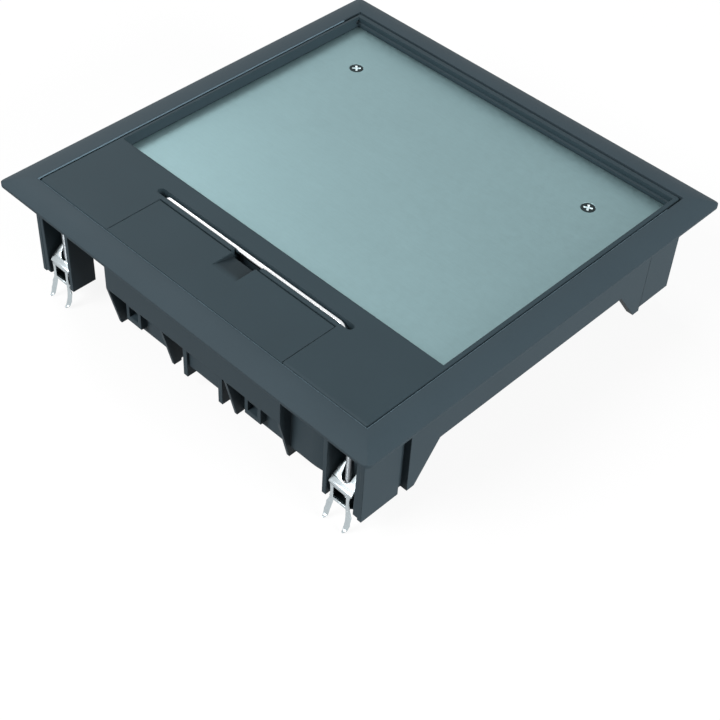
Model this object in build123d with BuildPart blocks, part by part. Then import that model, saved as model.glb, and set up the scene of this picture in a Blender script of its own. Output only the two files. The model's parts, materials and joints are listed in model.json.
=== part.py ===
from build123d import *
import os

os.makedirs("parts", exist_ok=True)

# Overall sizes of the box, in millimetres
lid_side = 234.0
lid_gap = 0.6
lid_thickness = 12.5
overall_height = 75.0

# Flange of the frame, arched down to its outer edge
flange_width = 14.4
flange_drop = 3.2
flange_edge = 1.5
flange_corner = 4.0
flange_flat = 1.5

# Body of the frame below the flange
collar_wall = 2.2
body_corner = 3.0
collar_depth = 20.0
side_wall_depth = 38.5
pillar_depth = 61.5
skirt_shortfall = 1.0
pillar_width = 25.8
pillar_back = 14.8
wall = 2.5
side_skirt_proud = 2.0
side_skirt_inset = 28.8
side_slot = 4.0
groove_wall = 2.4
groove_lap = 3.0
slope_foot = 5.0
slope_run = 16.0
front_skirt_margin = 2.0
front_skirt_depth = 39.0
front_skirt_setback = 0.5

# Comb of ribs and snap blocks below the front and back skirts
comb_depth = 66.5
comb_taper = 6.5
comb_shift = 2.3
comb_rib = 1.8
comb_rib_place = 23.8
post_place = 13.2
post_width = 3.0
post_setback = 5.8
bridge_setback = 7.3
bridge_wall = 1.8
bridge_depth = 59.5
notch_depth = 55.0
bay_wall_depth = 66.0
snap_place = 11.5
snap_width = 11.5
snap_top = 42.0
snap_depth = 61.5
snap_setback = 7.3
snap_hole = 7.0
snap_rim = 3.2
guard_setback = 7.3
guard_depth = 60.0
guard_straight = 15.0
guard_wall = 2.0

# Seat of the lid and the shelf that carries the device cups
seat_width = 9.6
seat_thickness = 2.5
seal_width = 3.0
seal_thickness = 1.5
seal_inset = 1.2
seal_end_gap = 25.6
shelf_depth = 20.0
shelf_reach = 19.8
shelf_web = 2.0

# Lid with its recess for the steel plate
lid_corner = 2.0
side_rim = 2.8
back_rim = 4.0
front_panel = 52.7
plate_sink = 6.4
plate_thickness = 2.0
plate_gap = 0.3
rib_width = 2.0
rib_pitch = 38.0
lid_skin = 3.0
back_round = 2.0
back_chamfer = 3.5
plate_round = 1.5
plate_screw_inset_x = 32.5
plate_screw_inset_y = 35.7
plate_screw_cross = 4.4
plate_screw_slot = 1.0
plate_screw_recess = 1.2

# Hinge of the lid
hinge_inset = 4.5
hinge_depth = 3.3
hinge_pin_radius = 1.2
hinge_pin_length = 5.4
hinge_pin_bite = 2.2
running_fit = 0.05

# Cable flap in the front edge of the lid
flap_width = 125.2
flap_depth = 34.7
flap_thickness = 4.5
flap_gap = 0.35
flap_pin_radius = 1.0
flap_pin_length = 6.0
flap_pin_inset = 2.2
flap_pin_depth = 1.9
flap_round = 1.2
shoulder_width = 2.4
shoulder_back = 8.0
scoop_width = 16.8
scoop_length = 13.8
scoop_depth = 3.2

# Pull-up handle, a bent steel wire
bar_radius = 1.6
bar_half = 64.4
bar_inset = 39.5
bar_sink = 0.8
bar_bend = 4.0
leg_depth = 30.0
slot_half = 69.5
slot_width = 4.2
slot_depth = 5.5
leg_clearance = 0.4
finger_half = 10.2
finger_depth = 10.0
handle_block = 3.0
clip_radius = 4.0
clip_thickness = 1.0
clip_depth = 27.0

# Floor claws on their screws
screw_inset = 14.8
screw_setback = 6.3
screw_radius = 2.0
screw_head_radius = 4.0
screw_head_height = 2.4
screw_head_round = 1.0
screw_cross = 3.6
screw_cross_slot = 0.9
screw_cross_depth = 1.2
screw_length = 48.0
screw_clearance = 0.35
head_seat_depth = 16.5
sheet = 1.0
claw_fold_depth = 49.5
claw_rise = 10.7
claw_lean = 9.0
claw_shoulder = 15.4
horn_spread = 4.9
claw_notch = 3.0
claw_notch_start = 4.0
claw_width = 12.8
claw_window = 8.8
claw_window_drop = 2.5
claw_crossbar_depth = 61.5
claw_crossbar = 1.6
claw_foot_spread = 2.2
claw_foot_reach = 3.1
claw_toe_radius = 1.3
nut_side = 7.0
nut_height = 2.6

# Device cups with their sockets
cup_bays = 3
cup_gap = 2.0
cup_side_gap = 4.6
cup_end_gap = 25.6
cup_bottom_depth = 66.0
cup_slope = 12.0
cup_slope_height = 14.0
cup_wall = 1.8
lug_width = 14.0
lug_thickness = 2.0
lug_pitch = 20.0
lug_gap = 0.4
socket_face_depth = 40.0
socket_block_end = 5.0
socket_block_width = 51.0
socket_count = 3
socket_radius = 19.5
socket_bowl_depth = 17.0
pin_spacing = 19.0
pin_radius = 2.6
pin_depth = 4.0
earth_width = 5.0
earth_height = 12.0
earth_sheet = 1.0
earth_gap = 0.5

# Places worked out from the sizes above
top = overall_height
lid_half = lid_side / 2
opening_half = lid_half + lid_gap
flange_half = opening_half + flange_width
flange_side = 2 * flange_half
body_half = opening_half + collar_wall
flange_under = flange_drop + flange_edge
lid_bottom = lid_thickness
seat_top = lid_bottom + seal_thickness
seat_bottom = seat_top + seat_thickness
hinge_y = lid_half - hinge_inset
recess_front = lid_half - front_panel
plate_screw_x = lid_half - plate_screw_inset_x
plate_screw_y = lid_half - plate_screw_inset_y
pillar_inner = body_half - pillar_width
side_skirt_end = body_half - side_skirt_inset
slope_end = side_skirt_end - slope_foot
slope_start = slope_end - slope_run
front_skirt_half = flap_width / 2 + front_skirt_margin
screw_x = body_half - screw_inset
screw_y = body_half - screw_setback
claw_y = body_half - front_skirt_setback
flap_back = -lid_half + flap_depth
flap_axis_y = flap_back - flap_pin_inset
bar_back = lid_half - bar_inset
bar_depth = bar_sink + bar_radius
seal_half_length = opening_half - seal_end_gap
cup_half_length = opening_half - cup_end_gap
cup_width = (2 * (opening_half - cup_side_gap) - (cup_bays - 1) * cup_gap) / cup_bays
cup_pitch = cup_width + cup_gap


def at_depth(depth):
    """Horizontal plane at a depth below the top of the closed lid."""
    return Plane.XY.offset(top - depth)


def span(inner, outer, side):
    """Two coordinates in rising order on one side of the centre."""
    return tuple(sorted((side * inner, side * outer)))


def box_between(x_range, y_range, depth_range, mode=Mode.ADD):
    """Upright block between two x values, two y values and two depths."""
    x_low, x_high = x_range
    y_low, y_high = y_range
    shallow, deep = depth_range
    with BuildSketch(at_depth(deep)) as footprint:
        with Locations(((x_low + x_high) / 2, (y_low + y_high) / 2)):
            Rectangle(x_high - x_low, y_high - y_low)
    extrude(footprint.sketch, amount=deep - shallow, mode=mode)


# The frame: arched flange, collar, lid seat, pillars, skirts and comb
def arch_section(plane):
    """Section of the flange, flat over the lid and falling past its edge."""
    flat_half = opening_half + flange_flat
    run = flange_half - flat_half
    arch_radius = (run ** 2 + flange_drop ** 2) / (2 * flange_drop)
    reach = run + flange_edge
    edge_half = flat_half + reach
    edge_z = top - arch_radius + (arch_radius ** 2 - reach ** 2) ** 0.5
    under_z = top - flange_under
    with BuildSketch(plane) as section:
        with BuildLine():
            Line((-flat_half, top), (flat_half, top))
            TangentArc((flat_half, top), (edge_half, edge_z), tangent=(1, 0))
            Polyline((edge_half, edge_z), (edge_half, under_z), (-edge_half, under_z),
                     (-edge_half, edge_z))
            TangentArc((-flat_half, top), (-edge_half, edge_z), tangent=(-1, 0))
        make_face()
    return section.sketch


def skirt_outline():
    """Side wall that reaches down to the pillars at both of its ends."""
    deep = top - pillar_depth + skirt_shortfall
    shallow = top - side_wall_depth
    Polygon((-side_skirt_end, top - flange_under), (-side_skirt_end, deep), (-slope_end, deep),
            (-slope_start, shallow), (slope_start, shallow), (slope_end, deep),
            (side_skirt_end, deep), (side_skirt_end, top - flange_under), align=None)


def comb_outline(depth, back):
    """Rib below the front skirt whose front edge leans back as it goes down."""
    front = -claw_y
    low = top - depth
    Polygon((front, top - collar_depth), (front, top - front_skirt_depth),
            (front + comb_taper, low), (back, low), (back, top - collar_depth), align=None)


with BuildPart() as frame:
    extrude(arch_section(Plane.XZ), amount=flange_side, both=True)
    extrude(arch_section(Plane.YZ), amount=flange_side, both=True, mode=Mode.INTERSECT)
    with BuildSketch(at_depth(flange_under)):
        RectangleRounded(flange_side, flange_side, flange_corner)
    extrude(amount=flange_under, mode=Mode.INTERSECT)
    with BuildSketch(at_depth(collar_depth)):
        RectangleRounded(2 * body_half, 2 * body_half, body_corner)
    extrude(amount=collar_depth - flange_under)
    with BuildSketch(at_depth(collar_depth)):
        Rectangle(2 * opening_half, 2 * opening_half)
    extrude(amount=collar_depth, mode=Mode.SUBTRACT)

    # Seat of the lid
    with BuildSketch(at_depth(seat_bottom)):
        Rectangle(2 * opening_half, 2 * opening_half)
        Rectangle(2 * (opening_half - seat_width), 2 * (opening_half - seat_width), mode=Mode.SUBTRACT)
    extrude(amount=seat_thickness)

    # Side skirts
    for side in (-1, 1):
        with BuildSketch(Plane.YZ.offset(side * opening_half)):
            skirt_outline()
        extrude(amount=side * (body_half + side_skirt_proud - opening_half))

    # Corner pillars with their claw recesses and screw seats
    for side_x in (-1, 1):
        for side_y in (-1, 1):
            pillar_y = body_half - pillar_back
            box_between(span(body_half - wall, body_half, side_x),
                        span(side_skirt_end + side_slot, body_half, side_y),
                        (collar_depth, pillar_depth))
            box_between(span(opening_half + 0.1 - groove_wall, opening_half + 0.1, side_x),
                        span(side_skirt_end - groove_lap, side_skirt_end + side_slot + groove_lap,
                             side_y),
                        (seat_bottom, pillar_depth - skirt_shortfall))
            box_between(span(pillar_inner, pillar_inner + wall, side_x),
                        span(pillar_y, body_half, side_y), (seat_bottom, pillar_depth))
            box_between(span(pillar_inner, body_half, side_x),
                        span(pillar_y, pillar_y + wall, side_y), (seat_bottom, pillar_depth))
            box_between(span(pillar_inner, body_half, side_x),
                        span(pillar_y, body_half, side_y), (head_seat_depth, collar_depth))
            box_between(span(pillar_inner + wall, opening_half, side_x),
                        span(pillar_y + wall, opening_half, side_y),
                        (lid_bottom, head_seat_depth), mode=Mode.SUBTRACT)
            with BuildSketch(at_depth(collar_depth)):
                with Locations((side_x * screw_x, side_y * screw_y)):
                    Circle(screw_radius + screw_clearance)
            extrude(amount=collar_depth - head_seat_depth, mode=Mode.SUBTRACT)

    # Front and back skirts, comb walls and the shelves for the cups
    for side_y in (-1, 1):
        box_between((-front_skirt_half, front_skirt_half), span(opening_half, claw_y, side_y),
                    (flange_under, front_skirt_depth))
        box_between((-pillar_inner, pillar_inner),
                    span(opening_half - seat_width - shelf_web, opening_half - seat_width, side_y),
                    (seat_top, shelf_depth + seat_thickness))
        box_between((-pillar_inner, pillar_inner),
                    span(body_half - shelf_reach, opening_half - seat_width, side_y),
                    (shelf_depth, shelf_depth + seat_thickness))

        # Comb: bay walls, notched between rib and post, with a bridge between the posts
        web_face = opening_half - seat_width
        web = span(web_face - shelf_web, web_face, side_y)
        rib_low, rib_high = comb_shift - comb_rib_place, comb_shift + comb_rib_place
        post_low, post_high = comb_shift - post_place, comb_shift + post_place
        box_between((-front_skirt_half, rib_low), web, (shelf_depth, bay_wall_depth))
        box_between((rib_high, front_skirt_half), web, (shelf_depth, bay_wall_depth))
        box_between((rib_low, rib_high), web, (shelf_depth, notch_depth))
        box_between((post_low, post_high),
                    span(claw_y - bridge_setback - bridge_wall, claw_y - bridge_setback, side_y),
                    (seat_bottom, bridge_depth))
        for post in (post_low, post_high):
            box_between((post - post_width / 2, post + post_width / 2),
                        span(web_face - shelf_web, claw_y - post_setback, side_y),
                        (seat_bottom, comb_depth))
        for rib in (-front_skirt_half, rib_high):
            middle = rib + snap_place
            box_between((middle - snap_width / 2, middle + snap_width / 2),
                        span(web_face - shelf_web, claw_y - snap_setback, side_y),
                        (snap_top, snap_depth))
            box_between((middle - snap_hole / 2, middle + snap_hole / 2),
                        span(web_face, claw_y - snap_setback, side_y),
                        (snap_depth - snap_rim - snap_hole, snap_depth - snap_rim),
                        mode=Mode.SUBTRACT)
    outer_rib = front_skirt_half - comb_rib / 2
    for place in (-outer_rib, comb_shift - comb_rib_place, comb_shift + comb_rib_place, outer_rib):
        with BuildSketch(Plane.YZ.offset(place - comb_rib / 2)):
            comb_outline(comb_depth, -web_face)
            mirror(about=Plane.YZ)
        extrude(amount=comb_rib)

    # Guard wall that bends back to the front right pillar
    guard_y = guard_setback - claw_y
    with BuildSketch(at_depth(guard_depth)):
        with BuildLine():
            bend = front_skirt_half + guard_straight
            corner = (pillar_inner + guard_wall, pillar_back - body_half - wall)
            Line((front_skirt_half - guard_wall, guard_y), (bend, guard_y))
            TangentArc((bend, guard_y), corner, tangent=(1, 0))
            Line(corner, (corner[0] - guard_wall, corner[1] + guard_wall))
            TangentArc((bend, guard_y + guard_wall), (corner[0] - guard_wall, corner[1] + guard_wall),
                       tangent=(1, 0))
            Line((bend, guard_y + guard_wall), (front_skirt_half - guard_wall, guard_y + guard_wall))
            Line((front_skirt_half - guard_wall, guard_y + guard_wall),
                 (front_skirt_half - guard_wall, guard_y))
        make_face()
    extrude(amount=guard_depth - seat_bottom)

    # Holes for the lid hinge pins
    with BuildSketch(Plane.YZ.offset(-opening_half - hinge_pin_length + hinge_pin_bite)):
        with Locations((hinge_y, top - hinge_depth)):
            Circle(hinge_pin_radius)
    extrude(amount=2 * (opening_half + hinge_pin_length - hinge_pin_bite), mode=Mode.SUBTRACT)
frame.part.label = "frame"
export_step(frame.part, "parts/frame.step")


# The lid tray
with BuildPart() as lid_tray:
    with BuildSketch(at_depth(lid_bottom)):
        RectangleRounded(lid_side, lid_side, lid_corner)
    extrude(amount=lid_thickness)
    top_back = lid_tray.edges().filter_by(Axis.X).group_by(Axis.Z)[-1].sort_by(Axis.Y)[-1]
    fillet(top_back, radius=back_round)
    with BuildSketch(Plane.YZ.offset(-lid_half)):
        Polygon((lid_half - back_chamfer, top - lid_bottom), (lid_half, top - lid_bottom),
                (lid_half, top - lid_bottom + back_chamfer), align=None)
    extrude(amount=lid_side, mode=Mode.SUBTRACT)
    recess_depth = plate_sink + plate_thickness
    box_between((-lid_half + side_rim, lid_half - side_rim), (-recess_front, lid_half - back_rim),
                (0, recess_depth), mode=Mode.SUBTRACT)

    # Notch for the cable flap, with a shoulder along each side
    notch_half = flap_width / 2 + flap_gap
    box_between((-notch_half, notch_half), (-lid_half, flap_back + flap_gap),
                (0, flap_thickness), mode=Mode.SUBTRACT)
    box_between((-notch_half + shoulder_width, notch_half - shoulder_width),
                (-lid_half, flap_back + flap_gap), (0, lid_bottom), mode=Mode.SUBTRACT)
    box_between((-notch_half, notch_half), (flap_back - shoulder_back, flap_back + flap_gap),
                (0, lid_bottom), mode=Mode.SUBTRACT)

    # Slot of the handle, the holes for its legs and the finger pocket
    with BuildSketch(at_depth(slot_depth)):
        with Locations((0, -bar_back)):
            SlotOverall(2 * slot_half, slot_width)
    extrude(amount=slot_depth, mode=Mode.SUBTRACT)
    with BuildSketch(at_depth(lid_bottom)):
        with Locations((-bar_half, -bar_back), (bar_half, -bar_back)):
            Circle(bar_radius + leg_clearance)
    extrude(amount=lid_thickness, mode=Mode.SUBTRACT)
    box_between((-finger_half, finger_half), (flap_back, slot_width / 2 - bar_back), (0, finger_depth),
                mode=Mode.SUBTRACT)

    # Hollows of the underside between its ribs
    hollow_top = recess_depth + rib_width
    hollow_half = lid_half - 3 * side_rim
    cells = int(2 * hollow_half // rib_pitch)
    cell = 2 * hollow_half / cells
    front_row = -recess_front
    back_row = lid_half - 3 * side_rim - back_rim
    rows = int((back_row - front_row) // rib_pitch)
    row = (back_row - front_row) / rows
    with BuildSketch(at_depth(lid_bottom)):
        with Locations((0, (front_row + back_row) / 2)):
            with GridLocations(cell, row, cells, rows):
                Rectangle(cell - rib_width, row - rib_width)
        with Locations((-plate_screw_x, plate_screw_y), (plate_screw_x, plate_screw_y)):
            Circle(screw_head_radius, mode=Mode.SUBTRACT)
    extrude(amount=lid_bottom - hollow_top, mode=Mode.SUBTRACT)
    ear_inner = notch_half + handle_block
    ear_outer = lid_half - side_rim
    for side in (-1, 1):
        box_between(span(ear_inner, ear_outer, side),
                    (-lid_half + side_rim, -bar_back - slot_width), (lid_skin, lid_bottom),
                    mode=Mode.SUBTRACT)

    # Pin holes of both hinges and the plate screws
    with BuildSketch(Plane.YZ.offset(-lid_half)):
        with Locations((hinge_y, top - hinge_depth)):
            Circle(hinge_pin_radius + running_fit)
    extrude(amount=lid_side, mode=Mode.SUBTRACT)
    flap_bore = notch_half + flap_pin_length / 2
    with BuildSketch(Plane.YZ.offset(-flap_bore)):
        with Locations((flap_axis_y, top - flap_pin_depth)):
            Circle(flap_pin_radius)
    extrude(amount=2 * flap_bore, mode=Mode.SUBTRACT)
    with BuildSketch(at_depth(lid_bottom)):
        with Locations((-plate_screw_x, plate_screw_y), (plate_screw_x, plate_screw_y)):
            Circle(screw_radius)
    extrude(amount=lid_thickness, mode=Mode.SUBTRACT)
lid_tray.part.label = "lid_tray"
export_step(lid_tray.part, "parts/lid_tray.step")

# The steel plate let into the lid
plate_half = lid_half - side_rim - plate_gap
plate_front = -recess_front + plate_gap
plate_back = lid_half - back_rim - plate_gap
with BuildPart() as lid_plate:
    box_between((-plate_half, plate_half), (plate_front, plate_back),
                (plate_sink, plate_sink + plate_thickness))
    fillet(lid_plate.edges().filter_by(Axis.Z), radius=plate_round)
    with Locations(at_depth(plate_sink)):
        with Locations((-plate_screw_x, plate_screw_y), (plate_screw_x, plate_screw_y)):
            CounterSinkHole(radius=screw_radius + 0.2, counter_sink_radius=screw_head_radius + 0.15)
lid_plate.part.label = "lid_plate"
export_step(lid_plate.part, "parts/lid_plate.step")

# Countersunk screws of the plate
with BuildPart() as lid_plate_screws:
    with BuildSketch(Plane.XZ.offset(-plate_screw_y)):
        head_z = top - plate_sink
        tip_z = top - lid_bottom + 0.5
        with Locations((plate_screw_x, 0)):
            Polygon((0, head_z), (screw_head_radius, head_z),
                    (screw_radius - 0.05, head_z - screw_head_radius + screw_radius - 0.05),
                    (screw_radius - 0.05, tip_z), (0, tip_z), align=None)
    revolve(axis=Axis((plate_screw_x, plate_screw_y, 0), (0, 0, 1)))
    for width, depth in ((plate_screw_cross, plate_screw_slot), (plate_screw_slot, plate_screw_cross)):
        box_between((plate_screw_x - width / 2, plate_screw_x + width / 2),
                    (plate_screw_y - depth / 2, plate_screw_y + depth / 2),
                    (plate_sink, plate_sink + plate_screw_recess), mode=Mode.SUBTRACT)
    mirror(about=Plane.YZ)
lid_plate_screws.part.label = "lid_plate_screws"
export_step(lid_plate_screws.part, "parts/lid_plate_screws.step")

# Foam strips that the lid rests on
with BuildPart() as lid_seal:
    seal_outer = opening_half - seat_width + seal_inset + seal_width
    seal_inner = seal_outer - seal_width
    for side in (-1, 1):
        strip = span(seal_inner, seal_outer, side)
        box_between((-seal_half_length, seal_half_length), strip, (lid_bottom, seat_top))
        box_between(strip, (-seal_half_length, seal_half_length), (lid_bottom, seat_top))
lid_seal.part.label = "lid_seal"
export_step(lid_seal.part, "parts/lid_seal.step")

# Stub pins that carry the lid
for side, name in ((-1, "lid_hinge_pin_left"), (1, "lid_hinge_pin_right")):
    with BuildPart() as hinge_pin:
        with BuildSketch(Plane.YZ.offset(side * (opening_half - hinge_pin_bite))):
            with Locations((hinge_y, top - hinge_depth)):
                Circle(hinge_pin_radius)
        extrude(amount=side * hinge_pin_length)
    hinge_pin.part.label = name
    export_step(hinge_pin.part, f"parts/{name}.step")

# The cable flap with its finger scoop
with BuildPart() as cable_flap:
    box_between((-flap_width / 2, flap_width / 2), (-lid_half, flap_back), (0, flap_thickness))
    rear_top = cable_flap.edges().filter_by(Axis.X).group_by(Axis.Z)[-1].sort_by(Axis.Y)[-1]
    fillet(rear_top, radius=flap_round)
    with BuildSketch(Plane.YZ.offset(-scoop_width / 2)):
        Polygon((flap_back - scoop_length, top), (flap_back, top - scoop_depth), (flap_back, top),
                align=None)
    extrude(amount=scoop_width, mode=Mode.SUBTRACT)
    pin_reach = flap_pin_length / 2 + flap_gap
    for side in (-1, 1):
        with BuildSketch(Plane.YZ.offset(side * flap_width / 2)):
            with Locations((flap_axis_y, top - flap_pin_depth)):
                Circle(flap_pin_radius + running_fit)
        extrude(amount=-side * pin_reach, mode=Mode.SUBTRACT)
cable_flap.part.label = "cable_flap"
export_step(cable_flap.part, "parts/cable_flap.step")

with BuildPart() as cable_flap_pins:
    for side in (-1, 1):
        with BuildSketch(Plane.YZ.offset(side * (notch_half + flap_pin_length / 2))):
            with Locations((flap_axis_y, top - flap_pin_depth)):
                Circle(flap_pin_radius)
        extrude(amount=-side * flap_pin_length)
cable_flap_pins.part.label = "cable_flap_pins"
export_step(cable_flap_pins.part, "parts/cable_flap_pins.step")

# The pull-up handle and the clips that stop it
with BuildPart() as handle_bar:
    bar_z = top - bar_depth
    leg_z = top - leg_depth
    with BuildLine(Plane.XZ.offset(bar_back)):
        FilletPolyline((-bar_half, leg_z), (-bar_half, bar_z), (bar_half, bar_z), (bar_half, leg_z),
                       radius=bar_bend)
    with BuildSketch(Plane.XY.offset(leg_z)):
        with Locations((-bar_half, -bar_back)):
            Circle(bar_radius)
    sweep()
handle_bar.part.label = "handle_bar"
export_step(handle_bar.part, "parts/handle_bar.step")

with BuildPart() as handle_clips:
    with BuildSketch(at_depth(clip_depth + clip_thickness)):
        with Locations((-bar_half, -bar_back), (bar_half, -bar_back)):
            Circle(clip_radius)
            Circle(bar_radius, mode=Mode.SUBTRACT)
    extrude(amount=clip_thickness)
handle_clips.part.label = "handle_clips"
export_step(handle_clips.part, "parts/handle_clips.step")


# A floor claw of the front right corner: leaning horns, window and splayed feet
fold_z = top - claw_fold_depth
crossbar_z = top - claw_crossbar_depth
claw_front = -claw_y
claw_back = claw_front + sheet
toe_y = claw_front - claw_foot_reach
lean_length = (claw_rise ** 2 + claw_lean ** 2) ** 0.5
shoulder = claw_shoulder / 2
with BuildPart() as claw:
    with BuildSketch(Plane.XZ.offset(-claw_back)):
        with Locations((screw_x, 0)):
            Polygon((-claw_width / 2, fold_z), (claw_width / 2, fold_z), (claw_width / 2, crossbar_z),
                    (claw_width / 2 + claw_foot_spread, 0), (-claw_width / 2 - claw_foot_spread, 0),
                    (-claw_width / 2, crossbar_z), align=None)
            Polygon((-claw_window / 2, fold_z - claw_window_drop),
                    (claw_window / 2, fold_z - claw_window_drop),
                    (claw_window / 2, crossbar_z + claw_crossbar),
                    (-claw_window / 2, crossbar_z + claw_crossbar), align=None, mode=Mode.SUBTRACT)
            Polygon((-claw_window / 2, crossbar_z), (claw_window / 2, crossbar_z),
                    (claw_window / 2 + claw_foot_spread, 0), (-claw_window / 2 - claw_foot_spread, 0),
                    align=None, mode=Mode.SUBTRACT)
    extrude(amount=claw_foot_reach + 2 * sheet)
    with BuildSketch(Plane.YZ.offset(screw_x - claw_shoulder)):
        with BuildLine():
            Line((claw_back, crossbar_z), (claw_back, fold_z))
            Line((claw_back, fold_z), (claw_front, fold_z))
            Line((claw_front, fold_z), (claw_front, crossbar_z))
            Spline((claw_front, crossbar_z), (toe_y, claw_toe_radius), tangents=((0, -1), (-1, -1)))
            Line((toe_y, claw_toe_radius), (toe_y + sheet, 0))
            Spline((toe_y + sheet, 0), (claw_back, crossbar_z), tangents=((1, 1), (0, 1)))
        make_face()
    extrude(amount=2 * claw_shoulder, mode=Mode.INTERSECT)

    # Horns that lean back beside the screw
    lean_plane = Plane(origin=(screw_x, claw_front, fold_z), x_dir=(1, 0, 0),
                       z_dir=(0, -claw_rise, claw_lean))
    with BuildSketch(lean_plane):
        with BuildLine():
            notch_low = claw_notch_start + claw_notch
            Line((-shoulder, 0), (shoulder, 0))
            Spline((shoulder, 0), (shoulder * 0.86, lean_length * 0.4), (horn_spread, lean_length))
            Line((horn_spread, lean_length), (claw_notch, notch_low))
            ThreePointArc((claw_notch, notch_low), (0, claw_notch_start), (-claw_notch, notch_low))
            Line((-claw_notch, notch_low), (-horn_spread, lean_length))
            Spline((-horn_spread, lean_length), (-shoulder * 0.86, lean_length * 0.4), (-shoulder, 0))
        make_face()
    extrude(amount=-sheet)

    # Tab bent back from the crossbar to the nut on the screw
    box_between((screw_x - claw_window / 2, screw_x + claw_window / 2),
                (claw_front, -screw_y + nut_side / 2),
                (claw_crossbar_depth - sheet, claw_crossbar_depth))
    with BuildSketch(at_depth(claw_crossbar_depth)):
        with Locations((screw_x, -screw_y)):
            Circle(screw_radius + screw_clearance)
    extrude(amount=sheet, mode=Mode.SUBTRACT)

# Square nut below the tab of the claw
nut_top_depth = claw_crossbar_depth
with BuildPart() as claw_nut:
    with BuildSketch(at_depth(nut_top_depth + nut_height)):
        with Locations((screw_x, -screw_y)):
            Rectangle(nut_side, nut_side)
            Circle(screw_radius + running_fit, mode=Mode.SUBTRACT)
    extrude(amount=nut_height)

# Long screw with a pan head and a cross recess
with BuildPart() as claw_screw:
    with BuildSketch(at_depth(head_seat_depth)):
        with Locations((screw_x, -screw_y)):
            Circle(screw_head_radius)
    extrude(amount=screw_head_height)
    fillet(claw_screw.edges().group_by(Axis.Z)[-1], radius=screw_head_round)
    head_depth = head_seat_depth - screw_head_height
    for width, depth in ((screw_cross, screw_cross_slot), (screw_cross_slot, screw_cross)):
        box_between((screw_x - width / 2, screw_x + width / 2),
                    (-screw_y - depth / 2, -screw_y + depth / 2),
                    (head_depth, head_depth + screw_cross_depth),
                    mode=Mode.SUBTRACT)
    with BuildSketch(at_depth(head_seat_depth + screw_length)):
        with Locations((screw_x, -screw_y)):
            Circle(screw_radius)
    extrude(amount=screw_length)

corners = {
    "front_right": (),
    "front_left": (Plane.YZ,),
    "back_right": (Plane.XZ,),
    "back_left": (Plane.YZ, Plane.XZ),
}
for corner, mirrors in corners.items():
    for kind, piece in (("claw", claw), ("claw_nut", claw_nut), ("claw_screw", claw_screw)):
        with BuildPart() as corner_piece:
            add(piece.part)
            for plane in mirrors:
                mirror(about=plane, mode=Mode.REPLACE)
        corner_piece.part.label = f"{kind}_{corner}"
        export_step(corner_piece.part, f"parts/{kind}_{corner}.step")

# Device cups that hang from the shelves of the frame
lug_end = opening_half - seat_width - shelf_web - lug_gap
cup_rim_depth = shelf_depth - lug_thickness
for middle, place in ((-cup_pitch, "left"), (0, "centre")):
    cup_half = cup_width / 2
    low_half = cup_half_length - cup_slope
    with BuildPart() as device_cup:
        with BuildSketch(Plane.YZ.offset(middle - cup_half)):
            Polygon((-cup_half_length, top - cup_rim_depth), (cup_half_length, top - cup_rim_depth),
                    (cup_half_length, top - cup_bottom_depth + cup_slope_height),
                    (low_half, top - cup_bottom_depth), (-low_half, top - cup_bottom_depth),
                    (-cup_half_length, top - cup_bottom_depth + cup_slope_height), align=None)
        extrude(amount=cup_width)
        rim = device_cup.faces().sort_by(Axis.Z)[-1]
        offset(amount=-cup_wall, openings=rim)
        for side_y in (-1, 1):
            for side_x in (-1, 1):
                lug_x = middle + side_x * lug_pitch / 2
                box_between((lug_x - lug_width / 2, lug_x + lug_width / 2),
                            span(cup_half_length - cup_wall, lug_end, side_y),
                            (cup_rim_depth, shelf_depth))
    device_cup.part.label = f"device_cup_{place}"
    export_step(device_cup.part, f"parts/device_cup_{place}.step")

    floor_depth = cup_bottom_depth - cup_wall
    block_length = 2 * (low_half - socket_block_end)
    socket_pitch = block_length / socket_count
    with BuildPart() as socket_block:
        box_between((middle - socket_block_width / 2, middle + socket_block_width / 2),
                    (-block_length / 2, block_length / 2), (socket_face_depth, floor_depth))
        with BuildSketch(at_depth(socket_face_depth + socket_bowl_depth)):
            with Locations((middle, 0)):
                with GridLocations(cup_pitch, socket_pitch, 1, socket_count):
                    Circle(socket_radius)
        extrude(amount=socket_bowl_depth, mode=Mode.SUBTRACT)
        with BuildSketch(at_depth(socket_face_depth + socket_bowl_depth + pin_depth)):
            with Locations((middle, 0)):
                with GridLocations(cup_pitch, socket_pitch, 1, socket_count):
                    with GridLocations(pin_spacing, 1, 2, 1):
                        Circle(pin_radius)
        extrude(amount=pin_depth, mode=Mode.SUBTRACT)
    socket_block.part.label = f"socket_block_{place}"
    export_step(socket_block.part, f"parts/socket_block_{place}.step")

    # Earth clips, two in each socket, standing on its floor
    with BuildPart() as earth_clips:
        clip_foot = socket_face_depth + socket_bowl_depth
        clip_spread = 2 * (socket_radius - earth_gap) - earth_sheet
        with BuildSketch(at_depth(clip_foot)):
            with Locations((middle, 0)):
                with GridLocations(cup_pitch, socket_pitch, 1, socket_count):
                    with GridLocations(1, clip_spread, 1, 2):
                        Rectangle(earth_width, earth_sheet)
        extrude(amount=earth_height)
    earth_clips.part.label = f"earth_clips_{place}"
    export_step(earth_clips.part, f"parts/earth_clips_{place}.step")
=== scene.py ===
import json
import math
import bmesh
import bpy
from mathutils import Matrix, Vector


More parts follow.
